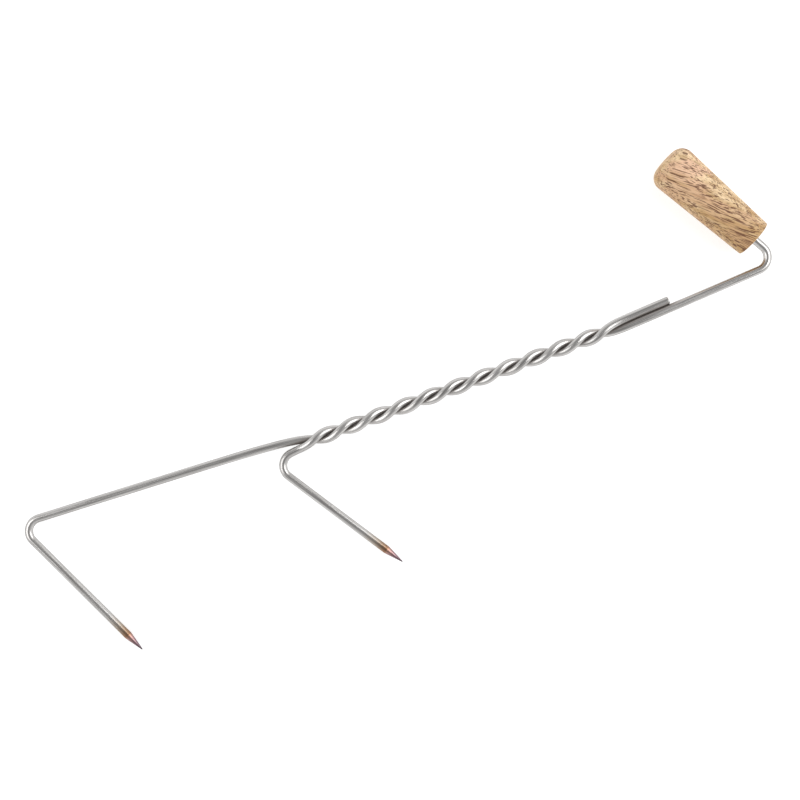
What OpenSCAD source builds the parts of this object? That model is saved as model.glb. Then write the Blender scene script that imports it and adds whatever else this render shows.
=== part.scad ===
// Marshmallow roasting fork.
// Two steel round bars are twisted together into one shaft. The first bar carries the front prong
// and ends as a short spare end beside the shaft. The second bar carries the rear prong, runs on past
// the twist, and is bent back into a crank whose end is glued into a tapered wooden grip.
//
// The fork is laid out flat, with the twist along +X and its first crossing at the origin, and is then
// set down the way it lies on a table: on the grip's side and on the front prong.

/* [Steel bars] */
// Diameter of both round bars
bar_d = 5; // [4.5:0.1:5.5]
// Length of the ground point of each prong
point_len = 12.5; // [8:0.5:16]
// Diameter left at the very tip of each prong
tip_d = 0.6; // [0.4:0.1:1.2]
// Bevel on the sawn end of each bar
sawn_bevel = 0.4; // [0.2:0.1:0.8]
// Radius of the three bends, to the bar's centre line
bend_r = 8.4; // [7.5:0.1:9]

/* [Prongs] */
// Length of the front prong, from its bend's corner to its tip
front_prong_len = 110; // [80:1:140]
// Length of the rear prong, from its bend's corner to its tip
rear_prong_len = 102.4; // [80:0.1:130]
// Angle between the front prong and the twist
front_prong_angle = 65.8; // [58:0.1:90]
// Angle between the rear prong and the twist
rear_prong_angle = 57.4; // [55:0.1:90]
// Distance from the front prong's corner to the first crossing of the twist
front_reach = 191.7; // [160:0.1:240]

/* [Twist] */
// Number of half turns in the twist
half_turns = 11; // [5:1:13]
// Length of one half turn
half_turn_len = 17.3; // [16:0.1:20]
// Air between the two bars in the twist
strand_gap = 0.06; // [0.04:0.01:0.2]
// Length of the spare end, from the last crossing to the sawn face
spare_end_len = 45.8; // [42:0.1:60]
// Angle by which the bars lean off the twist at each end
lean = 2.95; // [0:0.05:4]

/* [Crank] */
// Distance from the last crossing of the twist to the crank's corner
crank_reach = 118.3; // [100:0.1:160]
// Angle between the crank's end and the shaft beside it
crank_angle = 63.8; // [60:0.1:90]

/* [Wooden grip] */
// Length of the grip
grip_len = 73.5; // [65:0.5:110]
// Diameter of the grip at its flat end
grip_flat_d = 24.4; // [22:0.1:30]
// Diameter of the grip where its rounded end begins
grip_fat_d = 29.4; // [24:0.1:34]
// Radius of the rounded end's edge
nose_r = 8.3; // [3:0.1:9]
// Distance from the crank's corner to the grip's flat end
grip_start = 21.4; // [17:0.1:26]
// Depth to which the bar enters the grip
tang_len = 48; // [30:1:55]
// Thickness of the glue around the bar in the grip
glue = 0.05; // [0.03:0.01:0.1]

/* [Hidden] */
$fn = 64;

steel = [0.66, 0.66, 0.65];
wood = [0.82, 0.66, 0.44];

bar_r = bar_d / 2;
flat_r = grip_flat_d / 2;
fat_r = grip_fat_d / 2;
edge_break = 0.6; // bevel around the grip's flat end
nose_steps = 10; // facets along the rounded edge
drill_start = 1; // how far outside the grip the drill starts
drill_spare = 1; // how far the hole runs on past the bar's end
drill_tip = 1.5; // cone left by the drill at the bottom of the grip's hole

// Bends and swept stretches stand a hair proud of the straight bar, so the bar's ends lie inside them
swell = 0.01;
sink = 0.3; // how far a straight bar reaches into a bend
join = 3; // straight stretch at each end of a sweep
overlap = 2; // how far a straight bar reaches into that stretch
sides = 20; // sides of the sweep
sweep_r = (bar_r + swell) / cos(180 / sides);
strand_r = sweep_r + strand_gap / 2;
rings_per_half_turn = 8;
entry_rings = 12;

// The twist, and the stretch after it in which the bars settle side by side
twist_len = half_turns * half_turn_len;
settle_len = 2 * half_turn_len;
settled_x = twist_len + settle_len;
strand_slope = PI * strand_r / half_turn_len; // slope of a bar where it crosses the twist's middle

function way(angle) = [cos(angle), sin(angle)];
function flat(p) = [p.x, p.y, 0];
function corner_of(p) = [p.x, p.y];
function unit(v) = v / norm(v);
function bezier(p, t) =
    pow(1 - t, 3) * p[0] + 3 * t * pow(1 - t, 2) * p[1] + 3 * t * t * (1 - t) * p[2] + pow(t, 3) * p[3];

// Middle line of the pair of bars: straight along the twist, then leaning up by the lean angle,
// with a soft corner one half turn long at the last crossing
function middle(x) =
    let (run_in = x - twist_len + half_turn_len / 2)
    run_in <= 0 ? 0
    : run_in < half_turn_len ? tan(lean) * run_in * run_in / (2 * half_turn_len)
    : tan(lean) * (x - twist_len);

// Turn of the pair at x: even along the twist, then easing out over a last quarter turn
function turn(x) =
    x <= twist_len ? 180 * x / half_turn_len
    : 180 * half_turns + 90 * (1 - pow(1 - min(1, (x - twist_len) / settle_len), 4));

// Centre line of one bar in the twist. Side 1 starts on top, and side -1 underneath.
function strand(x, side) =
    [x, middle(x) + side * strand_r * sin(turn(x)), side * strand_r * cos(turn(x))];

strand_xs = [for (i = [1 : (half_turns + 2) * rings_per_half_turn]) i * half_turn_len / rings_per_half_turn];
lean_3d = [cos(lean), sin(lean), 0];

// First bar: the front prong's corner, and the gentle curve from its straight run into the twist
entry_len = 75;
entry_ease = 45; // how far the curve keeps the run's direction
entry_catch = 9; // how early it takes up the strand's direction
entry_rise = 8.2;
entry_start = [-entry_len, entry_rise];
front_corner = entry_start - (front_reach - entry_len) * [1, -tan(lean)];
front_entry = [
    flat(entry_start),
    flat(entry_start + entry_ease * [1, -tan(lean)]),
    strand(0, -1) - entry_catch * [1, -strand_slope, 0],
    strand(0, -1)
];
front_path = concat(
    [flat(entry_start) - join * unit([1, -tan(lean), 0])],
    [for (i = [0 : entry_rings]) bezier(front_entry, i / entry_rings)],
    [for (x = strand_xs) strand(x, -1)],
    [strand(settled_x, -1) + join * lean_3d]
);

// Second bar: the rear prong's bend lies just before the twist, and leads into it at a shallow angle
lead_angle = 6.3;
lead_ease = 6; // how far the curve keeps the lead's direction
lead_catch = 5; // how early it takes up the strand's direction
lead_start = [-13.65, -2.74];
lead_reach = bend_reach(lead_angle, -rear_prong_angle, bend_r) + join;
rear_corner = lead_start - lead_reach * way(lead_angle);
rear_entry = [
    flat(lead_start),
    flat(lead_start + lead_ease * way(lead_angle)),
    strand(0, 1) - lead_catch * [1, strand_slope, 0],
    strand(0, 1)
];
rear_path = concat(
    [flat(lead_start - overlap * way(lead_angle))],
    [for (i = [0 : entry_rings]) bezier(rear_entry, i / entry_rings)],
    [for (x = strand_xs) strand(x, 1)],
    [strand(settled_x, 1) + join * lean_3d]
);

// Crank: its corner lies on the second bar's straight run
crank_corner = corner_of(strand(settled_x, 1)) + (crank_reach - settle_len) * [1, tan(lean)];
grip_way = 180 + lean - crank_angle;
grip_foot = crank_corner + grip_start * way(grip_way);

// Centre of a bend between two legs that leave its corner at angles a and b, where a is the larger
function bend_centre(corner, a, b, r) = corner + r / sin((a - b) / 2) * way((a + b) / 2);
function bend_reach(a, b, r) = r / tan((a - b) / 2);

// Rest: the floor touches the grip's tapered side along a line, and the front prong where its point
// begins. The floor's normal follows from how far those three places stand off the bars' plane.
taper = atan2(fat_r - flat_r, grip_len - nose_r - edge_break);
rest_foot = grip_foot + edge_break * way(grip_way);
rest_fat = grip_foot + (grip_len - nose_r) * way(grip_way);
rest_prong = front_corner + (front_prong_len - point_len) * way(-front_prong_angle);
span_a = rest_foot - rest_prong;
span_b = rest_fat - rest_foot;
drop_a = flat_r * cos(taper) - bar_r;
drop_b = (fat_r - flat_r) * cos(taper);
span_area = span_a.x * span_b.y - span_a.y * span_b.x;
normal_x = (drop_a * span_b.y - span_a.y * drop_b) / span_area;
normal_y = (span_a.x * drop_b - drop_a * span_b.x) / span_area;
up = [normal_x, normal_y, sqrt(1 - normal_x * normal_x - normal_y * normal_y)];
along = unit([1, 0, 0] - up.x * up);
across = cross(up, along);

// The origin is the middle of the fork's outline, on the floor
low_x = bend_centre(front_corner, -lean, -front_prong_angle, bend_r).x - bend_r - bar_r;
high_x = grip_foot.x + flat_r * sin(grip_way);
front_tip = front_corner + front_prong_len * way(-front_prong_angle);
rear_tip = rear_corner + rear_prong_len * way(-rear_prong_angle);
low_y = min(front_tip.y, rear_tip.y);
high_y = rest_fat.y + (fat_r - nose_r) * abs(cos(grip_way)) + nose_r;
middle_point = [(low_x + high_x) / 2, (low_y + high_y) / 2, 0];

module as_it_lies() {
    multmatrix([
        [along.x, along.y, along.z, -along * middle_point],
        [across.x, across.y, across.z, -across * middle_point],
        [up.x, up.y, up.z, bar_r - up * flat(rest_prong)]
    ])
        children();
}

// Places a round piece, made along +Z, at a point of the bars' plane and along an angle in that plane
module along_way(from, angle) {
    translate(flat(from))
        rotate([0, 90, angle])
            children();
}

// Straight bar, with its far end narrowed to end_d over the last end_len
module straight_bar(from, angle, length, end_len = 0, end_d = bar_d) {
    along_way(from, angle)
        rotate_extrude()
            polygon(concat(
                [[0, 0], [bar_r, 0], [bar_r, length - end_len]],
                end_len > 0 ? [[end_d / 2, length]] : [],
                [[0, length]]
            ));
}

// Bend between two legs that leave its corner at angles a and b, where a is the larger
module bend(corner, a, b, r) {
    translate(flat(bend_centre(corner, a, b, r)))
        rotate(a + 90)
            rotate_extrude(angle = 180 - a + b)
                translate([r, 0])
                    circle(r = bar_r + swell);
}

// Bar swept along a path that never turns far from +X
module swept_bar(path) {
    last = len(path) - 1;
    headings = [for (i = [0 : last]) unit(path[min(i + 1, last)] - path[max(i - 1, 0)])];
    sideways = [for (h = headings) unit(cross([0, 0, 1], h))];
    points = [
        for (i = [0 : last], k = [0 : sides - 1])
            path[i] + sweep_r * (cos(360 * k / sides) * sideways[i]
                + sin(360 * k / sides) * cross(headings[i], sideways[i]))
    ];
    skin = [
        for (i = [0 : last - 1], k = [0 : sides - 1])
            let (next = (k + 1) % sides, here = i * sides, there = here + sides)
            each [[here + k, there + k, here + next], [there + k, there + next, here + next]]
    ];
    start_cap = [for (k = [0 : sides - 1]) k];
    end_cap = [for (k = [sides - 1 : -1 : 0]) last * sides + k];
    polyhedron(points, concat(skin, [start_cap, end_cap]));
}

// Front prong, its long run, one strand of the twist, and the spare end beside the shaft
module front_prong_rod() {
    leg = bend_reach(-lean, -front_prong_angle, bend_r) - sink;
    run_len = norm(entry_start - front_corner) - leg - join + overlap;
    spare_start = corner_of(strand(settled_x, -1)) + (join - overlap) * way(lean);
    spare_len = (spare_end_len - settle_len) / cos(lean) - join + overlap;
    color(steel)
        as_it_lies() {
            straight_bar(
                front_corner + leg * way(-front_prong_angle), -front_prong_angle,
                front_prong_len - leg, point_len, tip_d
            );
            bend(front_corner, -lean, -front_prong_angle, bend_r);
            straight_bar(front_corner + leg * way(-lean), -lean, run_len);
            swept_bar(front_path);
            straight_bar(spare_start, lean, spare_len, sawn_bevel, bar_d - 2 * sawn_bevel);
        }
}

// Rear prong, the other strand of the twist, the run, the crank and the tang inside the grip
module rear_prong_rod() {
    leg = bend_reach(lead_angle, -rear_prong_angle, bend_r) - sink;
    crank_leg = bend_reach(180 + lean, grip_way, bend_r) - sink;
    run_start = corner_of(strand(settled_x, 1)) + (join - overlap) * way(lean);
    run_len = norm(crank_corner - run_start) - crank_leg;
    color(steel)
        as_it_lies() {
            straight_bar(
                rear_corner + leg * way(-rear_prong_angle), -rear_prong_angle,
                rear_prong_len - leg, point_len, tip_d
            );
            bend(rear_corner, lead_angle, -rear_prong_angle, bend_r);
            straight_bar(rear_corner + leg * way(lead_angle), lead_angle, sink + join);
            swept_bar(rear_path);
            straight_bar(run_start, lean, run_len);
            bend(crank_corner, 180 + lean, grip_way, bend_r);
            straight_bar(
                crank_corner + crank_leg * way(grip_way), grip_way,
                grip_start + tang_len - crank_leg, sawn_bevel, bar_d - 2 * sawn_bevel
            );
        }
}

// Tapered grip with a flat end, a rounded end and a blind hole for the bar
module wooden_grip() {
    hole_r = bar_r + glue;
    hole_len = tang_len + drill_spare;
    nose_middle = [fat_r - nose_r, grip_len - nose_r];
    color(wood)
        as_it_lies()
            along_way(grip_foot, grip_way)
                difference() {
                    rotate_extrude()
                        polygon(concat(
                            [[0, 0], [flat_r - edge_break, 0], [flat_r, edge_break]],
                            [for (i = [0 : nose_steps]) nose_middle + nose_r * way(90 * i / nose_steps)],
                            [[0, grip_len]]
                        ));
                    translate([0, 0, -drill_start])
                        cylinder(r = hole_r, h = hole_len + drill_start);
                    translate([0, 0, hole_len])
                        cylinder(r1 = hole_r, r2 = 0, h = drill_tip);
                }
}

front_prong_rod();
rear_prong_rod();
wooden_grip();
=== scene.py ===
"""Marshmallow roasting fork: two steel bars twisted into one shaft, and a tapered wooden grip.

The bars and the grip are laid out in millimetres in the bars' own plane, with the twist along +X
and its first crossing at the origin. The fork then leans a little, because it lies on its grip's
side and on its front prong, and every piece is made straight in the row frame, in metres.
"""

import logging
import math
from dataclasses import dataclass, field
from enum import Enum

import bmesh
import bpy
from mathutils import Matrix, Vector


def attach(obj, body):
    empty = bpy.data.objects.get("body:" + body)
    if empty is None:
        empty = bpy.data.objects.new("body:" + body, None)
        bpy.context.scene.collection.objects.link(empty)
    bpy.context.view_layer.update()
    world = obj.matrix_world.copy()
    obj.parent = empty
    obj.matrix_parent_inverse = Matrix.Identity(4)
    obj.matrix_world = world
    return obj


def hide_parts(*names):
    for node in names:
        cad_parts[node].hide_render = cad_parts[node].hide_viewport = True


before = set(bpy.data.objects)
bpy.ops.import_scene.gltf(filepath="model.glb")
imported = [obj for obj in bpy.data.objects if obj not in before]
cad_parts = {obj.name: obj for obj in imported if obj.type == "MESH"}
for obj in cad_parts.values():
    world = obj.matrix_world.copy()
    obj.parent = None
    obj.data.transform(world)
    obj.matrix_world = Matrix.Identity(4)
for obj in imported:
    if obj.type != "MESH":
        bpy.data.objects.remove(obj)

log = logging.getLogger("roasting_fork")

MM = 0.001
GRAIN_SKEW = 20.0  # angle in degrees between the grip's axis and its grain
STRAIGHT = "straightened"  # where a bar's skin lies when the bar is straight: distance, then across
# The groove value masks the painted shade on the steel where the strands touch.
GROOVE = "groove"  # 1 where a bar's skin faces the other bar at touching distance, 0 in the open
END_GRAIN = "end_grain"  # 1 where the wood is cut straight across its grain, 0 where it is cut along

Colour = tuple[float, float, float]
Stops = tuple[tuple[float, Colour], ...]


def way(angle: float) -> Vector:
    """Returns the unit vector at an angle in degrees, in the bars' plane."""
    return Vector((math.cos(math.radians(angle)), math.sin(math.radians(angle)), 0.0))


def mix(low: float, high: float, share: float) -> float:
    """Returns the value at a share of the way from low to high."""
    return low + (high - low) * share


def smooth(low: float, high: float, value: float) -> float:
    """Returns 0 up to low, 1 from high on, and a soft step between them."""
    share = min(1.0, max(0.0, (value - low) / (high - low)))
    return share * share * (3 - 2 * share)


def bezier(points: list[Vector], share: float) -> Vector:
    """Works out a point on a cubic curve.

    Args:
        points: The curve's four control points.
        share: How far along the curve the point is, from 0 to 1.

    Returns:
        The point.
    """
    rest = 1 - share
    weights = (rest**3, 3 * share * rest**2, 3 * share**2 * rest, share**3)
    return sum((point * weight for point, weight in zip(points, weights)), Vector())


class BarEnd(Enum):
    """What is done to the end of a bar."""

    POINT = "ground to a point"
    SAWN = "sawn off square"


class Side(Enum):
    """Where a strand of the twist starts: on top of the other one, or underneath it."""

    OVER = 1
    UNDER = -1


@dataclass(frozen=True)
class ForkPlan:
    """Lines that the bars and the grip follow, in millimetres in the bars' plane.

    The lines are those of the fork's solid parts, so the pieces land where the solids are. Only
    the gap in the twist is smaller, because these bars are round and the solids have corners.
    """

    bar_r: float = 2.5
    bend_r: float = 8.4
    point_len: float = 12.5
    front_prong_len: float = 110.0
    rear_prong_len: float = 102.4
    front_prong_angle: float = 65.8
    rear_prong_angle: float = 57.4
    front_reach: float = 191.7
    half_turns: int = 11
    half_turn_len: float = 17.3
    strand_gap: float = 0.01
    spare_end_len: float = 45.8
    lean: float = 2.95
    crank_reach: float = 118.3
    crank_angle: float = 63.8
    grip_start: float = 21.4
    grip_len: float = 73.5
    grip_flat_r: float = 12.2
    grip_fat_r: float = 14.7
    nose_r: float = 8.3
    edge_break: float = 0.6
    tang_len: float = 48.0
    entry_len: float = 75.0
    entry_rise: float = 8.2
    entry_ease: float = 45.0
    entry_catch: float = 9.0
    lead_angle: float = 6.3
    lead_ease: float = 6.0
    lead_catch: float = 5.0
    lead_start: tuple[float, float] = (-13.65, -2.74)
    settle_ease: int = 4
    join: float = 3.0

    @property
    def twist_len(self) -> float:
        """Length from the first crossing of the twist to the last."""
        return self.half_turns * self.half_turn_len

    @property
    def settle_len(self) -> float:
        """Length over which the bars settle side by side after the twist."""
        return 2 * self.half_turn_len

    @property
    def settled_x(self) -> float:
        """Where the bars lie side by side."""
        return self.twist_len + self.settle_len

    @property
    def strand_r(self) -> float:
        """Radius of the coil that each strand's centre line follows."""
        return self.bar_r + self.strand_gap / 2

    @property
    def slope(self) -> float:
        """Slope of a strand where it crosses the middle of the twist."""
        return math.pi * self.strand_r / self.half_turn_len

    @property
    def tan_lean(self) -> float:
        """Rise of the bars for each millimetre along the twist, past its ends."""
        return math.tan(math.radians(self.lean))

    def middle(self, x: float) -> float:
        """Works out the height of the pair's middle line, which rises after the twist.

        Args:
            x: Distance along the twist from its first crossing.

        Returns:
            The height, in the bars' plane.
        """
        run_in = x - self.twist_len + self.half_turn_len / 2
        if run_in <= 0:
            return 0.0
        if run_in < self.half_turn_len:
            return self.tan_lean * run_in**2 / (2 * self.half_turn_len)
        return self.tan_lean * (x - self.twist_len)

    def turn(self, x: float) -> float:
        """Works out how far the pair of bars has turned round its middle line.

        Args:
            x: Distance along the twist from its first crossing.

        Returns:
            The turn in degrees, which ends a quarter turn past the last crossing.
        """
        if x <= self.twist_len:
            return 180 * x / self.half_turn_len
        settled = min(1.0, (x - self.twist_len) / self.settle_len)
        return 180 * self.half_turns + 90 * (1 - (1 - settled) ** self.settle_ease)

    def strand(self, x: float, side: Side) -> Vector:
        """Works out the centre of one strand.

        Args:
            x: Distance along the twist from its first crossing.
            side: Which of the two strands.

        Returns:
            The centre, with its height over the bars' plane.
        """
        turned = math.radians(self.turn(x))
        reach = side.value * self.strand_r
        return Vector((x, self.middle(x) + reach * math.sin(turned), reach * math.cos(turned)))

    def settled(self, side: Side) -> Vector:
        """Returns the place in the bars' plane where a strand has settled."""
        end = self.strand(self.settled_x, side)
        return Vector((end.x, end.y, 0.0))

    @property
    def entry_start(self) -> Vector:
        """Where the first bar's straight run starts to curve into the twist."""
        return Vector((-self.entry_len, self.entry_rise, 0.0))

    @property
    def front_corner(self) -> Vector:
        """Corner of the front prong's bend."""
        back = self.front_reach - self.entry_len
        return self.entry_start - back * Vector((1.0, -self.tan_lean, 0.0))

    @property
    def rear_corner(self) -> Vector:
        """Places the corner of the rear prong's bend.

        Returns:
            The corner, which leaves a short straight length before the bar curves into the twist.
        """
        tangent = self.bend_reach(self.lead_angle, -self.rear_prong_angle)
        start = Vector((*self.lead_start, 0.0))
        return start - (tangent + self.join) * way(self.lead_angle)

    @property
    def crank_corner(self) -> Vector:
        """Corner of the crank's bend."""
        run = self.crank_reach - self.settle_len
        return self.settled(Side.OVER) + run * Vector((1.0, self.tan_lean, 0.0))

    @property
    def grip_way(self) -> float:
        """Angle of the grip's axis, from its flat end to its rounded end."""
        return 180 + self.lean - self.crank_angle

    @property
    def grip_foot(self) -> Vector:
        """Middle of the grip's flat end."""
        return self.crank_corner + self.grip_start * way(self.grip_way)

    def bend_reach(self, a: float, b: float) -> float:
        """Returns the distance from a bend's corner to its start, for legs at angles a and b."""
        return self.bend_r / math.tan(math.radians(a - b) / 2)

    def bend_centre(self, corner: Vector, a: float, b: float) -> Vector:
        """Returns the centre of a bend whose legs leave its corner at angles a and b."""
        return corner + self.bend_r / math.sin(math.radians(a - b) / 2) * way((a + b) / 2)

    def resting(self) -> Matrix:
        """Works out how the fork lies, on its grip's side and on its front prong.

        Returns:
            The matrix that takes a point in the bars' plane, in millimetres, to the row frame,
            in metres.
        """
        on_grip = way(self.grip_way)
        taper = math.atan2(
            self.grip_fat_r - self.grip_flat_r, self.grip_len - self.nose_r - self.edge_break
        )
        foot = self.grip_foot + self.edge_break * on_grip
        fat = self.grip_foot + (self.grip_len - self.nose_r) * on_grip
        prong = self.front_corner + (self.front_prong_len - self.point_len) * way(
            -self.front_prong_angle
        )
        to_foot, to_fat = foot - prong, fat - foot
        drop_foot = self.grip_flat_r * math.cos(taper) - self.bar_r
        drop_fat = (self.grip_fat_r - self.grip_flat_r) * math.cos(taper)
        area = to_foot.x * to_fat.y - to_foot.y * to_fat.x
        normal_x = (drop_foot * to_fat.y - to_foot.y * drop_fat) / area
        normal_y = (to_foot.x * drop_fat - drop_foot * to_fat.x) / area
        up = Vector((normal_x, normal_y, math.sqrt(1 - normal_x**2 - normal_y**2)))
        along = (Vector((1.0, 0.0, 0.0)) - up.x * up).normalized()
        across = up.cross(along)

        bend = self.bend_centre(self.front_corner, -self.lean, -self.front_prong_angle)
        flat_side = self.grip_flat_r * math.sin(math.radians(self.grip_way))
        tips = (
            self.front_corner + self.front_prong_len * way(-self.front_prong_angle),
            self.rear_corner + self.rear_prong_len * way(-self.rear_prong_angle),
        )
        nose_side = (self.grip_fat_r - self.nose_r) * abs(math.cos(math.radians(self.grip_way)))
        middle = Vector(
            (
                (bend.x - self.bend_r - self.bar_r + self.grip_foot.x + flat_side) / 2,
                (min(tip.y for tip in tips) + fat.y + nose_side + self.nose_r) / 2,
                0.0,
            )
        )
        shift = Vector((-along.dot(middle), -across.dot(middle), self.bar_r - up.dot(prong)))
        turn = Matrix((along, across, up)).to_4x4()
        return Matrix.Scale(MM, 4) @ Matrix.Translation(shift) @ turn


@dataclass
class CentreLine:
    """A bar's centre line as points in the bars' plane, made from its point to its sawn end."""

    plan: ForkPlan
    points: list[Vector] = field(default_factory=list)
    run_step: float = 4.0
    bend_steps: int = 26
    entry_steps: int = 26
    strand_step: float = 1.08
    least_step: float = 0.2
    least_rest: float = 0.3

    def add(self, point: Vector) -> None:
        """Adds a point, unless the line already ends there."""
        if not self.points or (point - self.points[-1]).length > self.least_step:
            self.points.append(point)

    def run(self, end: Vector) -> None:
        """Adds a straight run from where the line ends now.

        Args:
            end: Where the run ends.
        """
        start = self.points[-1].copy()
        length = (end - start).length
        heading = (end - start) / length
        at = 0.0
        while at < length - self.least_rest:
            self.add(start + heading * at)
            at += self.run_step
        self.add(end)

    def bend(self, corner: Vector, a: float, b: float, from_a: bool) -> None:
        """Adds a bend between two legs that leave its corner at angles a and b.

        Args:
            corner: Where the two legs would meet.
            a: Angle of the leg with the larger angle.
            b: Angle of the other leg.
            from_a: Whether the line comes in along leg a.
        """
        centre = self.plan.bend_centre(corner, a, b)
        first, last = a + 90, b + 270
        if not from_a:
            first, last = last, first
        for step in range(self.bend_steps + 1):
            angle = mix(first, last, step / self.bend_steps)
            self.add(centre + self.plan.bend_r * way(angle))

    def curve(self, points: list[Vector]) -> None:
        """Adds a cubic curve with four control points."""
        for step in range(self.entry_steps + 1):
            self.add(bezier(points, step / self.entry_steps))

    def strand(self, side: Side) -> None:
        """Adds one strand of the twist, up to where the bars have settled side by side.

        Args:
            side: Which of the two strands.
        """
        count = round(self.plan.settled_x / self.strand_step)
        for step in range(1, count + 1):
            self.add(self.plan.strand(self.plan.settled_x * step / count, side))

    def distances(self) -> list[float]:
        """Measures the line.

        Returns:
            The distance along the line of each of its points.
        """
        passed = [0.0]
        for before, after in zip(self.points, self.points[1:]):
            passed.append(passed[-1] + (after - before).length)
        return passed


class NumberField:
    """A number that varies over a surface, so that shader maths reads as a Python expression."""

    def __init__(self, maker: "ShaderMaker", socket: bpy.types.NodeSocket) -> None:
        """Wraps an output socket of one of the maker's nodes."""
        self.maker = maker
        self.socket = socket

    def _maths(self, operation: str, *values: "Number") -> "NumberField":
        """Returns the result of a Math node on the given values."""
        return self.maker.number(
            "ShaderNodeMath", {"operation": operation}, dict(enumerate(values))
        )

    def __add__(self, other: "Number") -> "NumberField":
        """Returns self + other."""
        return self._maths("ADD", self, other)

    __radd__ = __add__

    def __sub__(self, other: "Number") -> "NumberField":
        """Returns self - other."""
        return self._maths("SUBTRACT", self, other)

    def __rsub__(self, other: "Number") -> "NumberField":
        """Returns other - self."""
        return self._maths("SUBTRACT", other, self)

    def __mul__(self, other: "Number") -> "NumberField":
        """Returns self * other."""
        return self._maths("MULTIPLY", self, other)

    __rmul__ = __mul__

    def __truediv__(self, other: "Number") -> "NumberField":
        """Returns self / other."""
        return self._maths("DIVIDE", self, other)

    def __rtruediv__(self, other: "Number") -> "NumberField":
        """Returns other / self."""
        return self._maths("DIVIDE", other, self)

    def __pow__(self, other: "Number") -> "NumberField":
        """Returns self ** other."""
        return self._maths("POWER", self, other)

    def ramp(self, low: float, high: float, start: float = 0.0, end: float = 1.0) -> "NumberField":
        """Returns a soft step from start to end, as self goes from low to high."""
        return self.maker.number(
            "ShaderNodeMapRange",
            {"interpolation_type": "SMOOTHSTEP"},
            {"Value": self, "From Min": low, "From Max": high, "To Min": start, "To Max": end},
            "Result",
        )


Number = float | NumberField


@dataclass(frozen=True)
class NoiseSize:
    """Noise drawn out in one direction: the size of its unit, and where in the noise it starts."""

    along: float
    across: float
    offset: float = 0.0


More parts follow.
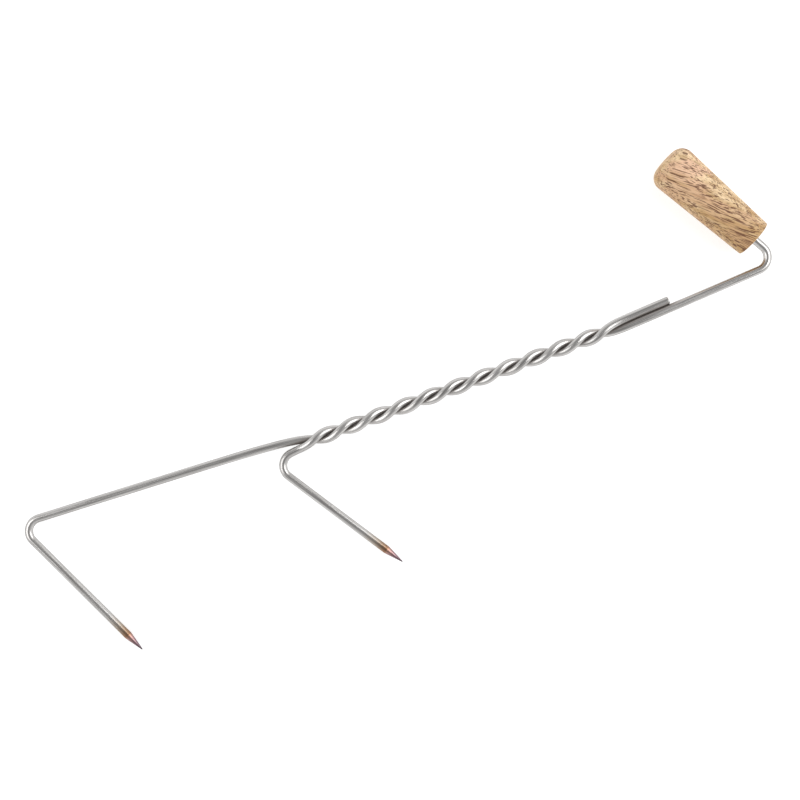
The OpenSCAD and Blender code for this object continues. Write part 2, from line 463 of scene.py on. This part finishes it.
class ShaderMaker:
    """Fills a material or a world with nodes, and gives numbers as fields."""

    def __init__(self, owner: bpy.types.Material | bpy.types.World) -> None:
        """Clears the owner's nodes.

        Args:
            owner: The material or world that gets the nodes.
        """
        owner.use_nodes = True
        self.owner = owner
        self.tree = owner.node_tree
        self.tree.nodes.clear()

    def node(
        self, kind: str, settings: dict | None = None, inputs: dict | None = None
    ) -> bpy.types.Node:
        """Makes a node.

        Args:
            kind: The node's type.
            settings: Its properties, set before its sockets. "stops" fills a colour ramp.
            inputs: Values or links of its input sockets, by the socket's name or number.

        Returns:
            The new node.
        """
        made = self.tree.nodes.new(kind)
        for name, value in (settings or {}).items():
            if name == "stops":
                self._fill_ramp(made.color_ramp, value)
            else:
                setattr(made, name, value)
        for name, value in (inputs or {}).items():
            socket = made.inputs[name]
            if isinstance(value, NumberField):
                self.tree.links.new(value.socket, socket)
            elif isinstance(value, bpy.types.NodeSocket):
                self.tree.links.new(value, socket)
            else:
                socket.default_value = value
        return made

    @staticmethod
    def _fill_ramp(ramp: bpy.types.ColorRamp, stops: Stops) -> None:
        """Gives a colour ramp its stops.

        Args:
            ramp: The ramp, with two stops of its own.
            stops: Each stop's position and colour, two or more.
        """
        while len(ramp.elements) < len(stops):
            ramp.elements.new(1.0)
        for element, (position, colour) in zip(ramp.elements, stops):
            element.position = position
            element.color = (*colour, 1.0)

    def number(
        self,
        kind: str,
        settings: dict | None = None,
        inputs: dict | None = None,
        output: str | int = 0,
    ) -> NumberField:
        """Makes a node that gives a number.

        Args:
            kind: The node's type.
            settings: Its properties.
            inputs: Values or links of its input sockets.
            output: The name or number of the output that is wanted.

        Returns:
            That output, as a number field.
        """
        return NumberField(self, self.node(kind, settings, inputs).outputs[output])

    def vector_maths(
        self, operation: str, *values: bpy.types.NodeSocket | tuple[float, float, float]
    ) -> bpy.types.NodeSocket:
        """Returns the vector from a Vector Math node."""
        made = self.node("ShaderNodeVectorMath", {"operation": operation}, dict(enumerate(values)))
        return made.outputs["Vector"]

    def noise(
        self, where: bpy.types.NodeSocket, scale: float, detail: float = 2.0, rough: float = 0.5
    ) -> NumberField:
        """Makes noise with an average of 0.5.

        Args:
            where: The place that the noise is read at.
            scale: How many units of noise there are in a metre.
            detail: How many finer layers are added.
            rough: How strong each finer layer is, beside the one before it.

        Returns:
            The noise.
        """
        return self.number(
            "ShaderNodeTexNoise",
            {},
            {"Vector": where, "Scale": scale, "Detail": detail, "Roughness": rough},
            "Fac",
        )

    def streaks(
        self,
        where: bpy.types.NodeSocket,
        size: NoiseSize,
        detail: float = 2.0,
        rough: float = 0.5,
    ) -> NumberField:
        """Makes noise that is drawn out along X.

        Args:
            where: The place that the noise is read at.
            size: The size of the noise's unit.
            detail: How many finer layers are added.
            rough: How strong each finer layer is, beside the one before it.

        Returns:
            The noise.
        """
        units = (1 / size.along, 1 / size.across, 1 / size.across)
        scaled = self.vector_maths("MULTIPLY", where, units)
        moved = self.vector_maths("ADD", scaled, (size.offset, size.offset, size.offset))
        return self.noise(moved, 1.0, detail, rough)

    def colours(self, share: NumberField, stops: Stops) -> bpy.types.NodeSocket:
        """Returns the colour that a ramp gives to a share."""
        return self.node("ShaderNodeValToRGB", {"stops": stops}, {"Fac": share}).outputs["Color"]

    def blend(
        self,
        share: Number,
        low: bpy.types.NodeSocket | Colour,
        high: bpy.types.NodeSocket | Colour,
        mode: str = "MIX",
    ) -> bpy.types.NodeSocket:
        """Mixes two colours.

        Args:
            share: How much of the second colour there is, from 0 to 1.
            low: The first colour.
            high: The second colour.
            mode: How the second colour goes onto the first.

        Returns:
            The mixed colour.
        """
        made = self.tree.nodes.new("ShaderNodeMix")
        made.data_type = "RGBA"
        made.blend_type = mode
        factor, first, second = (
            next(s for s in made.inputs if s.identifier == name)
            for name in ("Factor_Float", "A_Color", "B_Color")
        )
        for socket, value in ((factor, share), (first, low), (second, high)):
            if isinstance(value, NumberField):
                self.tree.links.new(value.socket, socket)
            elif isinstance(value, bpy.types.NodeSocket):
                self.tree.links.new(value, socket)
            else:
                socket.default_value = (*value, 1.0) if isinstance(value, tuple) else value
        return next(s for s in made.outputs if s.identifier == "Result_Color")

    def bump(self, height: NumberField, depth: float) -> bpy.types.NodeSocket:
        """Makes a bump.

        Args:
            height: The height, from 0 to 1.
            depth: What a height of 1 stands for, in metres.

        Returns:
            The normal that follows the height.
        """
        made = self.node(
            "ShaderNodeBump", {}, {"Strength": 1.0, "Distance": depth, "Height": height}
        )
        return made.outputs["Normal"]

    def surface(self, inputs: dict) -> bpy.types.Material:
        """Adds a material's surface shader and its output.

        Args:
            inputs: Values or links of the surface shader's sockets.

        Returns:
            The finished material.
        """
        shader = self.node("ShaderNodeBsdfPrincipled", {}, inputs)
        self.node("ShaderNodeOutputMaterial", {}, {"Surface": shader.outputs["BSDF"]})
        return self.owner


@dataclass(frozen=True)
class DrawnSteel:
    """Drawn stainless bar: satin, with fine lines along it, a heat tint behind its point and painted
    shade where the strands touch.
    """

    name: str = "drawn_steel"
    light: Colour = (0.70, 0.688, 0.675)
    dark: Colour = (0.325, 0.312, 0.302)
    # Painted shade: the dark brown-grey colour of the steel where the two strands touch.
    groove_shade: Colour = (0.120, 0.088, 0.070)
    edge_tint: float = 0.40  # how much of the light stays in a glancing reflection
    roughness: float = 0.27
    lines: NoiseSize = NoiseSize(45 * MM, 0.60 * MM)
    fine_lines: NoiseSize = NoiseSize(15 * MM, 0.20 * MM)
    patches: NoiseSize = NoiseSize(14 * MM, 2.2 * MM)
    scuffs: NoiseSize = NoiseSize(1.2 * MM, 1.0 * MM)
    grinding_rings: NoiseSize = NoiseSize(0.16 * MM, 3.0 * MM)
    line_depth: float = 0.030 * MM
    point_len: float = 12.5 * MM
    shoulder: float = 0.1 * MM
    tint_len: float = 34 * MM
    tint_wander: float = 7 * MM
    tint_fray: float = 3 * MM
    heat_tint: Stops = (
        (0.00, (0.11, 0.09, 0.11)),
        (0.09, (0.22, 0.15, 0.18)),
        (0.20, (0.43, 0.28, 0.31)),
        (0.31, (0.66, 0.41, 0.38)),
        (0.38, (0.64, 0.37, 0.23)),
        (0.46, (0.68, 0.48, 0.34)),
        (0.60, (0.84, 0.74, 0.64)),
        (0.90, (1.00, 1.00, 1.00)),
    )

    def make(self) -> bpy.types.Material:
        """Builds the material.

        Returns:
            The material, which reads the skin's straightened place and its groove value.
        """
        m = ShaderMaker(bpy.data.materials.new(self.name))
        straight = m.node("ShaderNodeAttribute", {"attribute_name": STRAIGHT}).outputs["Vector"]
        groove = m.number("ShaderNodeAttribute", {"attribute_name": GROOVE}, {}, "Fac")
        distance = m.number("ShaderNodeSeparateXYZ", {}, {0: straight}, "X")

        lines = m.streaks(straight, self.lines)
        fine = m.streaks(straight, self.fine_lines, 1.0)
        patches = m.streaks(straight, self.patches)
        scuffs = m.streaks(straight, self.scuffs, 3.0, 0.6)
        rings = m.streaks(straight, self.grinding_rings)

        on_point = distance.ramp(
            self.point_len - self.shoulder, self.point_len + self.shoulder, 1.0, 0.0
        )
        shade = lines.ramp(0.36, 0.64) * 0.5 + fine.ramp(0.34, 0.66) * 0.3 + patches * 0.2
        steel = m.blend(shade, self.dark, self.light)

        wander = (patches - 0.5) * self.tint_wander + (scuffs - 0.5) * self.tint_fray
        tint = m.colours((distance + wander) / self.tint_len, self.heat_tint)
        tinted = m.blend(1.0, steel, tint, "MULTIPLY")
        tinted = m.blend(on_point * 0.25, tinted, tint)
        # Painted shade: where the strands touch, the steel is painted dark brown-grey in patches,
        # and is made less metallic and rougher.
        groove_shade_amount = groove * (0.40 + scuffs * 0.5)
        colour = m.blend(groove_shade_amount, tinted, self.groove_shade)

        relief = lines * (1 - on_point) + fine * 0.4 + rings * on_point * 0.8 + scuffs * 0.15
        rough = self.roughness + (patches - 0.5) * 0.10 + (lines - 0.5) * 0.10
        rough = rough + groove * 0.22 + on_point * 0.06
        return m.surface(
            {
                "Base Color": colour,
                "Metallic": 1 - groove * 0.35,
                "Roughness": rough,
                "Specular Tint": (self.edge_tint, self.edge_tint, self.edge_tint, 1.0),
                "Normal": m.bump(relief, self.line_depth),
            }
        )


@dataclass(frozen=True)
class OpenPoredWood:
    """Oiled hardwood with long open pores, cut so that its grain runs askew across the grip."""

    middle: tuple[float, float, float]
    grain_angle: float
    name: str = "open_pored_wood"
    pale: Colour = (0.95, 0.725, 0.455)
    tan: Colour = (0.50, 0.30, 0.125)
    pink: Colour = (0.84, 0.53, 0.37)
    figure: Colour = (0.33, 0.15, 0.09)
    pore: Colour = (0.130, 0.050, 0.026)
    roughness: float = 0.52
    pore_depth: float = 0.12 * MM
    grain_rise: float = 4.0
    wave_len: float = 38 * MM
    wave_width: float = 12 * MM
    wave_height: float = 4.5 * MM
    # Where, across the grip's width, the wood turns darker, browner and more open-pored towards one
    # side.
    dark_side_from: float = -12 * MM
    dark_side_to: float = 15 * MM
    crowds: NoiseSize = NoiseSize(30 * MM, 5 * MM, 3.1)
    long_pores: NoiseSize = NoiseSize(18 * MM, 0.66 * MM)
    short_pores: NoiseSize = NoiseSize(6 * MM, 0.42 * MM, 7.7)
    fibres: NoiseSize = NoiseSize(9 * MM, 0.35 * MM)
    bands: NoiseSize = NoiseSize(70 * MM, 4.2 * MM, 1.3)
    clouds: NoiseSize = NoiseSize(30 * MM, 11 * MM, 5.9)
    streaks: NoiseSize = NoiseSize(18 * MM, 2.6 * MM, 9.4)

    def make(self) -> bpy.types.Material:
        """Builds the material on the grip's own coordinates, with X along the grain.

        Returns:
            The material, which reads how straight the skin cuts across the grain.
        """
        m = ShaderMaker(bpy.data.materials.new(self.name))
        turned = m.node(
            "ShaderNodeMapping",
            {"vector_type": "TEXTURE"},
            {
                "Vector": m.node("ShaderNodeTexCoord").outputs["Object"],
                "Location": self.middle,
                "Rotation": (0.0, math.radians(self.grain_rise), math.radians(self.grain_angle)),
            },
        ).outputs["Vector"]
        across = m.number("ShaderNodeSeparateXYZ", {}, {0: turned}, "Y")
        endwise = m.number("ShaderNodeAttribute", {"attribute_name": END_GRAIN}, {}, "Fac")
        waves = m.node(
            "ShaderNodeTexNoise",
            {},
            {
                "Vector": m.vector_maths(
                    "MULTIPLY",
                    turned,
                    (1 / self.wave_len, 1 / self.wave_width, 1 / self.wave_width),
                ),
                "Scale": 1.0,
                "Detail": 1.0,
            },
        ).outputs["Color"]
        sway = m.vector_maths("MULTIPLY", waves, (0.0, self.wave_height, self.wave_height))
        grain = m.vector_maths("ADD", turned, sway)

        # Darker and browner towards one side of the grip, across its width, with more pores and
        # fewer pink clouds.
        dark_side = across.ramp(self.dark_side_from, self.dark_side_to)
        crowds = m.streaks(grain, self.crowds) + dark_side * 0.06
        dashes = m.streaks(grain, self.long_pores, 0.0)
        crowding = crowds - 0.5
        long_pores = (dashes + crowding * 0.16 - endwise * 0.11).ramp(0.56, 0.63)
        specks = m.streaks(grain, self.short_pores, 0.0)
        short_pores = (specks + crowding * 0.20 + endwise * 0.02).ramp(0.60, 0.72)
        fibres = m.streaks(grain, self.fibres, 3.0, 0.6)
        bands = m.streaks(grain, self.bands, 3.0, 0.55)
        clouds = m.streaks(grain, self.clouds)
        streaks = m.streaks(grain, self.streaks)

        wood = m.blend((bands - dark_side * 0.10).ramp(0.30, 0.62), self.tan, self.pale)
        wood = m.blend(clouds.ramp(0.46, 0.60) * (0.8 - dark_side * 0.4), wood, self.pink)
        wood = m.blend(fibres.ramp(0.42, 0.72) * 0.40, wood, self.tan)
        wood = m.blend(streaks.ramp(0.58, 0.74) * 0.38, wood, self.figure)
        wood = m.blend(dark_side * 0.42 + endwise * 0.30, wood, self.tan)
        colour = m.blend(long_pores * 0.86, wood, self.pore)
        colour = m.blend(short_pores * 0.55, colour, self.pore)

        relief = 1 - long_pores * 0.8 - short_pores * 0.4 + fibres * 0.18
        rough = self.roughness + (fibres - 0.5) * 0.15 + long_pores * 0.2
        return m.surface(
            {
                "Base Color": colour,
                "Roughness": rough,
                "Specular IOR Level": 0.35,
                "Normal": m.bump(relief, self.pore_depth),
            }
        )


@dataclass(frozen=True)
class PaperSweep:
    """White studio paper with a faint tooth, lit through from below."""

    name: str = "studio_paper"
    colour: Colour = (0.55, 0.55, 0.55)
    tooth_scale: float = 900.0
    glow: float = 0.66

    def make(self) -> bpy.types.Material:
        """Builds the material.

        Returns:
            The material.
        """
        m = ShaderMaker(bpy.data.materials.new(self.name))
        place = m.node("ShaderNodeTexCoord").outputs["Object"]
        tooth = m.noise(place, self.tooth_scale)
        return m.surface(
            {
                "Base Color": (*self.colour, 1.0),
                "Roughness": 0.8 + tooth * 0.1,
                "Specular IOR Level": 0.2,
                "Emission Color": (1.0, 1.0, 1.0, 1.0),
                "Emission Strength": self.glow,
            }
        )


class FinishedMesh:
    """Turns a bmesh into a piece of the fork: smooth faces, one material, riding on the fork."""

    @staticmethod
    def make(
        bm: bmesh.types.BMesh, name: str, node: str, slot: str, material: bpy.types.Material
    ) -> bpy.types.Object:
        """Makes the object and hides the solid that it stands for.

        Args:
            bm: The mesh, in the row frame. It is freed.
            name: The piece's name.
            node: The solid that the piece stands for.
            slot: The record's material slot. Not used.
            material: The piece's finish.

        Returns:
            The new object.
        """
        for face in bm.faces:
            face.smooth = True
        mesh = bpy.data.meshes.new(name)
        bm.to_mesh(mesh)
        bm.free()
        mesh.materials.append(material)
        piece = bpy.data.objects.new(name, mesh)
        bpy.context.scene.collection.objects.link(piece)
        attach(piece, "root")
        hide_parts(node)
        return piece


@dataclass
class SteelRod:
    """A round bar swept along its centre line, with a ground point and a sawn end."""

    plan: ForkPlan
    name: str = ""
    node: str = ""
    sides: int = 48
    cone_rings: int = 8
    tip_rounding: tuple[tuple[float, float], ...] = (
        (0.00, 0.10),
        (0.06, 0.20),
        (0.16, 0.27),
        (0.40, 0.35),
    )
    sawn_round: float = 0.7
    round_steps: int = 4
    ring_gap: float = 0.12
    groove_rim: float = 0.15
    groove_floor: float = 0.95
    groove_near: float = 5.2
    groove_far: float = 8.6

    def centre_line(self) -> CentreLine:
        """Returns the bar's centre line, from its point to its sawn end."""
        raise NotImplementedError

    def other_line(self) -> CentreLine:
        """Returns the centre line of the bar that this one is twisted with."""
        raise NotImplementedError

    def end_profile(self, end: BarEnd) -> list[tuple[float, float]]:
        """Works out how the bar's radius changes near one of its ends.

        Args:
            end: Which end.

        Returns:
            Distances from that end, each with the radius there.
        """
        bar_r = self.plan.bar_r
        if end is BarEnd.POINT:
            return [*self.tip_rounding, (self.plan.point_len, bar_r)]
        profile = []
        for step in range(self.round_steps + 1):
            turned = math.radians(90 * (1 - step / self.round_steps))
            at = self.sawn_round * (1 - math.sin(turned))
            profile.append((at, bar_r - self.sawn_round * (1 - math.cos(turned))))
        return profile

    def radius(self, from_point: float, from_sawn: float) -> float:
        """Works out the bar's radius.

        Args:
            from_point: Distance from the bar's point.
            from_sawn: Distance from its sawn end.

        Returns:
            The radius there.
        """
        for at, end in ((from_point, BarEnd.POINT), (from_sawn, BarEnd.SAWN)):
            profile = self.end_profile(end)
            for (near, low), (far, high) in zip(profile, profile[1:]):
                if at < far:
                    return mix(low, high, max(0.0, at - near) / (far - near))
        return self.plan.bar_r

    def stations(self) -> tuple[list[Vector], list[float]]:
        """Adds the ends' own rings to the centre line.

        Returns:
            The middle of each ring of skin, and its distance along the bar.
        """
        line = self.centre_line()
        passed = line.distances()
        length = passed[-1]
        marks = [at for at, _ in self.end_profile(BarEnd.POINT)]
        marks += [
            self.plan.point_len * ring / self.cone_rings for ring in range(1, self.cone_rings)
        ]
        marks += [length - at for at, _ in self.end_profile(BarEnd.SAWN)]
        kept = [at for at in passed if min(abs(at - mark) for mark in marks) > self.ring_gap]
        points, distances, segment = [], [], 0
        for at in sorted(kept + marks):
            while segment < len(passed) - 2 and passed[segment + 1] < at:
                segment += 1
            share = (at - passed[segment]) / (passed[segment + 1] - passed[segment])
            points.append(line.points[segment].lerp(line.points[segment + 1], share))
            distances.append(at)
        return points, distances

    def sweep(self) -> bmesh.types.BMesh:
        """Sweeps a ring of skin along the centre line, one extrusion for each station.

        Returns:
            The bar's closed skin in the bars' plane, in millimetres, with its two layers filled.
        """
        points, distances = self.stations()
        others = self.other_line().points
        bm = bmesh.new()
        straight = bm.verts.layers.float_vector.new(STRAIGHT)
        groove = bm.verts.layers.float.new(GROOVE)
        ring = bmesh.ops.create_circle(bm, cap_ends=False, segments=self.sides, radius=1.0)
        verts = ring["verts"]
        for vert in verts:
            vert[straight] = (0.0, vert.co.x, vert.co.y)
        edges = list({edge for vert in verts for edge in vert.link_edges})
        first_ring, last = list(edges), len(points) - 1
        heading = (points[1] - points[0]).normalized()
        side = heading.cross(Vector((0.0, 0.0, 1.0))).normalized()
        crisp = {self.plan.point_len, distances[-1]}
        for step, (point, at) in enumerate(zip(points, distances)):
            before, after = points[max(step - 1, 0)], points[min(step + 1, last)]
            onward = (after - before).normalized()
            side = heading.rotation_difference(onward) @ side
            heading = onward
            rise = heading.cross(side)
            if step:
                grown = bmesh.ops.extrude_edge_only(bm, edges=edges)["geom"]
                verts = [item for item in grown if isinstance(item, bmesh.types.BMVert)]
                new_verts = set(verts)
                edges = [
                    item
                    for item in grown
                    if isinstance(item, bmesh.types.BMEdge) and new_verts.issuperset(item.verts)
                ]
            # How near the other bar is, which places the painted shade where the strands touch.
            nearest = min(others, key=lambda other: (other - point).length_squared)
            gap = nearest - point
            near = 1 - smooth(self.groove_near, self.groove_far, gap.length)
            radius = self.radius(at, distances[-1] - at)
            for vert in verts:
                _, across, upward = vert[straight]
                unit = Vector((across, upward)).normalized()
                outward = unit.x * side + unit.y * rise
                vert.co = point + radius * outward
                vert[straight] = (at * MM, unit.x * radius * MM, unit.y * radius * MM)
                vert[groove] = near * smooth(
                    self.groove_rim, self.groove_floor, outward.dot(gap.normalized())
                )
            if any(math.isclose(at, mark) for mark in crisp):
                for edge in edges:
                    edge.smooth = False
        bmesh.ops.contextual_create(bm, geom=first_ring)
        bmesh.ops.contextual_create(bm, geom=edges)
        bmesh.ops.recalc_face_normals(bm, faces=bm.faces)
        return bm

    def build(self, material: bpy.types.Material) -> bpy.types.Object:
        """Builds the bar, sets it down as the fork lies and dresses it.

        Args:
            material: The bar's finish.

        Returns:
            The finished piece.
        """
        bm = self.sweep()
        bmesh.ops.transform(bm, matrix=self.plan.resting(), verts=bm.verts)
        faces = len(bm.faces)
        piece = FinishedMesh.make(bm, self.name, self.node, "steel", material)
        log.info("%s: %d faces", self.name, faces)
        return piece


@dataclass
class FrontProngRod(SteelRod):
    """First bar: front prong, long run, lower strand of the twist, and the spare end."""

    name: str = "front_prong_bar"
    node: str = "front_prong_rod"

    def centre_line(self) -> CentreLine:
        """Returns the bar's centre line, from its point to its sawn end."""
        plan = self.plan
        line = CentreLine(plan)
        prong = way(-plan.front_prong_angle)
        line.add(plan.front_corner + plan.front_prong_len * prong)
        reach = plan.bend_reach(-plan.lean, -plan.front_prong_angle)
        line.run(plan.front_corner + reach * prong)
        line.bend(plan.front_corner, -plan.lean, -plan.front_prong_angle, from_a=False)
        line.run(plan.entry_start)
        crossing = plan.strand(0.0, Side.UNDER)
        onward = Vector((1.0, -plan.tan_lean, 0.0))
        line.curve(
            [
                plan.entry_start,
                plan.entry_start + plan.entry_ease * onward,
                crossing - plan.entry_catch * Vector((1.0, -plan.slope, 0.0)),
                crossing,
            ]
        )
        line.strand(Side.UNDER)
        spare = (plan.spare_end_len - plan.settle_len) / math.cos(math.radians(plan.lean))
        line.run(plan.settled(Side.UNDER) + spare * way(plan.lean))
        return line

    def other_line(self) -> CentreLine:
        """Returns the centre line of the bar that this one is twisted with."""
        return RearProngRod(self.plan).centre_line()


@dataclass
class RearProngRod(SteelRod):
    """Second bar: rear prong, upper strand of the twist, long run, crank and tang."""

    name: str = "rear_prong_bar"
    node: str = "rear_prong_rod"

    def centre_line(self) -> CentreLine:
        """Returns the bar's centre line, from its point to its sawn end."""
        plan = self.plan
        line = CentreLine(plan)
        prong = way(-plan.rear_prong_angle)
        line.add(plan.rear_corner + plan.rear_prong_len * prong)
        reach = plan.bend_reach(plan.lead_angle, -plan.rear_prong_angle)
        line.run(plan.rear_corner + reach * prong)
        line.bend(plan.rear_corner, plan.lead_angle, -plan.rear_prong_angle, from_a=False)
        start = Vector((*plan.lead_start, 0.0))
        crossing = plan.strand(0.0, Side.OVER)
        line.curve(
            [
                start,
                start + plan.lead_ease * way(plan.lead_angle),
                crossing - plan.lead_catch * Vector((1.0, plan.slope, 0.0)),
                crossing,
            ]
        )
        line.strand(Side.OVER)
        to_bend = plan.bend_reach(180 + plan.lean, plan.grip_way)
        line.run(plan.crank_corner - to_bend * way(plan.lean))
        line.bend(plan.crank_corner, 180 + plan.lean, plan.grip_way, from_a=True)
        line.run(plan.crank_corner + (plan.grip_start + plan.tang_len) * way(plan.grip_way))
        return line

    def other_line(self) -> CentreLine:
        """Returns the centre line of the bar that this one is twisted with."""
        return FrontProngRod(self.plan).centre_line()


@dataclass
class WoodenGrip:
    """Turned grip: a flat end with a blind hole for the bar, a taper, and a rounded end."""

    plan: ForkPlan
    name: str = "turned_grip"
    node: str = "wooden_grip"
    steps: int = 144
    face_rings: tuple[float, ...] = (3.0, 6.0)
    edge_steps: int = 5
    side_steps: int = 16
    nose_steps: int = 14
    crown_steps: int = 4
    glue: float = 0.05
    drill_tip: float = 1.5
    hole_spare: float = 1.0
    rim_ease: float = 0.25
    crown: float = 0.35
    same_place: float = 0.002

    def profile(self) -> list[Vector]:
        """Draws the grip's outline, from the hole's bottom to the middle of the rounded end.

        Returns:
            The outline's points, each at its distance from the axis and from the flat end.
        """
        plan = self.plan
        hole_r = plan.bar_r + self.glue
        hole_len = plan.tang_len + self.hole_spare
        points = [
            (0.0, hole_len + self.drill_tip),
            (hole_r, hole_len),
            (hole_r, self.rim_ease),
            (hole_r + self.rim_ease, 0.0),
        ]
        points += [(hole_r + self.rim_ease + ring, 0.0) for ring in self.face_rings]
        for step in range(self.edge_steps + 1):
            turned = math.radians(90 * step / self.edge_steps)
            points.append(
                (
                    plan.grip_flat_r - plan.edge_break * (1 - math.sin(turned)),
                    plan.edge_break * (1 - math.cos(turned)),
                )
            )
        side_end = plan.grip_len - plan.nose_r
        for step in range(1, self.side_steps):
            share = step / self.side_steps
            points.append(
                (
                    mix(plan.grip_flat_r, plan.grip_fat_r, share),
                    mix(plan.edge_break, side_end, share),
                )
            )
        flat_end = plan.grip_fat_r - plan.nose_r
        for step in range(self.nose_steps + 1):
            turned = math.radians(90 * step / self.nose_steps)
            points.append(
                (
                    flat_end + plan.nose_r * math.cos(turned),
                    side_end + (plan.nose_r - self.crown) * math.sin(turned),
                )
            )
        for step in range(1, self.crown_steps + 1):
            share = step / self.crown_steps
            rise = self.crown * (1 - (1 - share) ** 2)
            points.append((flat_end * (1 - share), plan.grip_len - self.crown + rise))
        return [Vector((r, 0.0, z)) for r, z in points]

    @property
    def grain_angle(self) -> float:
        """Angle of the wood's grain, in the row frame."""
        return self.plan.grip_way + GRAIN_SKEW

    def middle(self) -> tuple[float, float, float]:
        """Returns the grip's middle in the row frame."""
        plan = self.plan
        return tuple(plan.resting() @ (plan.grip_foot + plan.grip_len / 2 * way(plan.grip_way)))

    def build(self, material: bpy.types.Material) -> bpy.types.Object:
        """Spins the outline once round, sets the grip on the bar's end and dresses it.

        Args:
            material: The grip's finish.

        Returns:
            The finished piece.
        """
        bm = bmesh.new()
        verts = [bm.verts.new(point) for point in self.profile()]
        edges = [bm.edges.new(pair) for pair in zip(verts, verts[1:])]
        bmesh.ops.spin(
            bm,
            geom=verts + edges,
            cent=(0.0, 0.0, 0.0),
            axis=(0.0, 0.0, 1.0),
            angle=math.radians(360),
            steps=self.steps,
            use_merge=True,
        )
        bmesh.ops.remove_doubles(bm, verts=bm.verts, dist=self.same_place)
        bmesh.ops.recalc_face_normals(bm, faces=bm.faces)
        plan = self.plan
        place = (
            plan.resting()
            @ Matrix.Translation(plan.grip_foot)
            @ Matrix.Rotation(math.radians(plan.grip_way), 4, "Z")
            @ Matrix.Rotation(math.radians(90), 4, "Y")
        )
        bmesh.ops.transform(bm, matrix=place, verts=bm.verts)
        bm.normal_update()
        endwise = bm.verts.layers.float.new(END_GRAIN)
        for vert in bm.verts:
            vert[endwise] = abs(vert.normal.dot(way(self.grain_angle)))
        faces = len(bm.faces)
        piece = FinishedMesh.make(bm, self.name, self.node, "wood", material)
        log.info("%s: %d faces", self.name, faces)
        return piece


@dataclass
class Studio:
    """White sweep, soft lamps and a camera that looks straight down on the fork."""

    floor_half: float = 3.0
    camera_height: float = 0.8645
    camera_over: tuple[float, float] = (-0.0011, 0.0046)
    camera_turn: float = -20.29
    seen_width: float = 0.4976
    bars_height: float = 0.007
    sensor: float = 36.0
    lamp_size: tuple[float, float] = (1.1, 0.9)
    lamp_distance: float = 1.05
    lamp_height: float = 0.85
    right_angle: float = 12.0
    right_watts: float = 9.0
    left_angle: float = 186.0
    left_watts: float = 6.0
    horizon_to: float = 0.10
    overhead_from: float = 0.95
    overhead_shade: float = 0.40

    def sweep(self) -> None:
        """Lays the floor."""
        bm = bmesh.new()
        bmesh.ops.create_grid(bm, x_segments=1, y_segments=1, size=self.floor_half)
        mesh = bpy.data.meshes.new("floor")
        bm.to_mesh(mesh)
        bm.free()
        mesh.materials.append(PaperSweep().make())
        floor = bpy.data.objects.new("floor", mesh)
        bpy.context.scene.collection.objects.link(floor)

    def lamp(self, name: str, angle: float, watts: float) -> None:
        """Hangs a soft rectangular lamp that faces the fork's middle.

        Args:
            name: The lamp's name.
            angle: Where it hangs round the fork, from the camera's right-hand side.
            watts: Its power.
        """
        light = bpy.data.lights.new(name, "AREA")
        light.shape = "RECTANGLE"
        light.size, light.size_y = self.lamp_size
        light.energy = watts
        lamp = bpy.data.objects.new(name, light)
        spot = self.lamp_distance * way(self.camera_turn + angle)
        lamp.location = (spot.x, spot.y, self.lamp_height)
        lamp.rotation_mode = "QUATERNION"
        lamp.rotation_quaternion = (-lamp.location).to_track_quat("-Z", "Y")
        bpy.context.scene.collection.objects.link(lamp)

    def lamps(self) -> None:
        """Hangs the lamps: a strong one on the right, and a weaker one on the left."""
        self.lamp("right_softbox", self.right_angle, self.right_watts)
        self.lamp("left_softbox", self.left_angle, self.left_watts)

    def sky(self) -> None:
        """Surrounds the fork with a soft white tent that is darker overhead."""
        world = bpy.data.worlds.new("tent")
        bpy.context.scene.world = world
        m = ShaderMaker(world)
        direction = m.node("ShaderNodeTexCoord").outputs["Generated"]
        upward = m.number("ShaderNodeSeparateXYZ", {}, {0: direction}, "Z")
        shade = upward.ramp(self.horizon_to, self.overhead_from, 1.0, self.overhead_shade)
        light = m.node("ShaderNodeBackground", {}, {"Color": shade, "Strength": 1.0})
        m.node("ShaderNodeOutputWorld", {}, {"Surface": light.outputs["Background"]})

    def camera(self) -> None:
        """Hangs the camera over the fork, turned so that the shaft rises to the right."""
        data = bpy.data.cameras.new("camera")
        data.sensor_width = self.sensor
        data.lens = self.sensor * (self.camera_height - self.bars_height) / self.seen_width
        data.clip_start, data.clip_end = 0.01, 20.0
        camera = bpy.data.objects.new("camera", data)
        camera.location = (*self.camera_over, self.camera_height)
        camera.rotation_euler = (0.0, 0.0, math.radians(self.camera_turn))
        bpy.context.scene.collection.objects.link(camera)
        bpy.context.scene.camera = camera

    def build(self) -> None:
        """Sets up the whole studio, with plain colours that aren't film-graded."""
        self.sweep()
        self.lamps()
        self.sky()
        self.camera()
        bpy.context.scene.view_settings.view_transform = "Standard"
        log.info("studio: floor, lamps, tent and camera")


def main() -> None:
    """Builds the fork and its studio."""
    logging.basicConfig(level=logging.INFO, format="%(name)s: %(message)s")
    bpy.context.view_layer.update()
    plan = ForkPlan()
    steel = DrawnSteel().make()
    FrontProngRod(plan).build(steel)
    RearProngRod(plan).build(steel)
    grip = WoodenGrip(plan)
    grip.build(OpenPoredWood(grip.middle(), grip.grain_angle).make())
    Studio().build()


if __name__ == "__main__":
    main()
